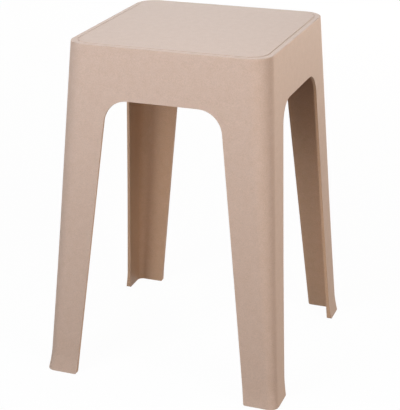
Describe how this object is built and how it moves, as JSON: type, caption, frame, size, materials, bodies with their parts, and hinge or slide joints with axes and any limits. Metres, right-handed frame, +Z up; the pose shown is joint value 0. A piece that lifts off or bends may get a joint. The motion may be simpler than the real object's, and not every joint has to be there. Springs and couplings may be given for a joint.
{
  "type": "stacking stool",
  "caption": "Square backless plastic stacking stool with a flat seat, splayed angle-section legs and arched open sides, moulded in one thin-walled piece.",
  "frame": {"origin": "centre of the four feet's footprint, on the floor", "axes": "+Z up, -Y front, +X to the right as seen from the front"},
  "size_m": [0.3254, 0.3254, 0.45],
  "materials": {
    "moulding": "fine satin-matte moulded polypropylene, warm beige"
  },
  "bodies": {
    "root": {"seat_panel": "moulding", "seat_rim": "moulding", "apron_front": "moulding", "apron_right": "moulding", "apron_rear": "moulding", "apron_left": "moulding", "leg_front_left": "moulding", "leg_front_right": "moulding", "leg_rear_left": "moulding", "leg_rear_right": "moulding", "foot_front_left": "moulding", "foot_front_right": "moulding", "foot_rear_left": "moulding", "foot_rear_right": "moulding", "underseat_ribs": "moulding", "stacking_stop_front_left": "moulding", "stacking_stop_front_right": "moulding", "stacking_stop_rear_left": "moulding", "stacking_stop_rear_right": "moulding"}
  },
  "joints": []
}
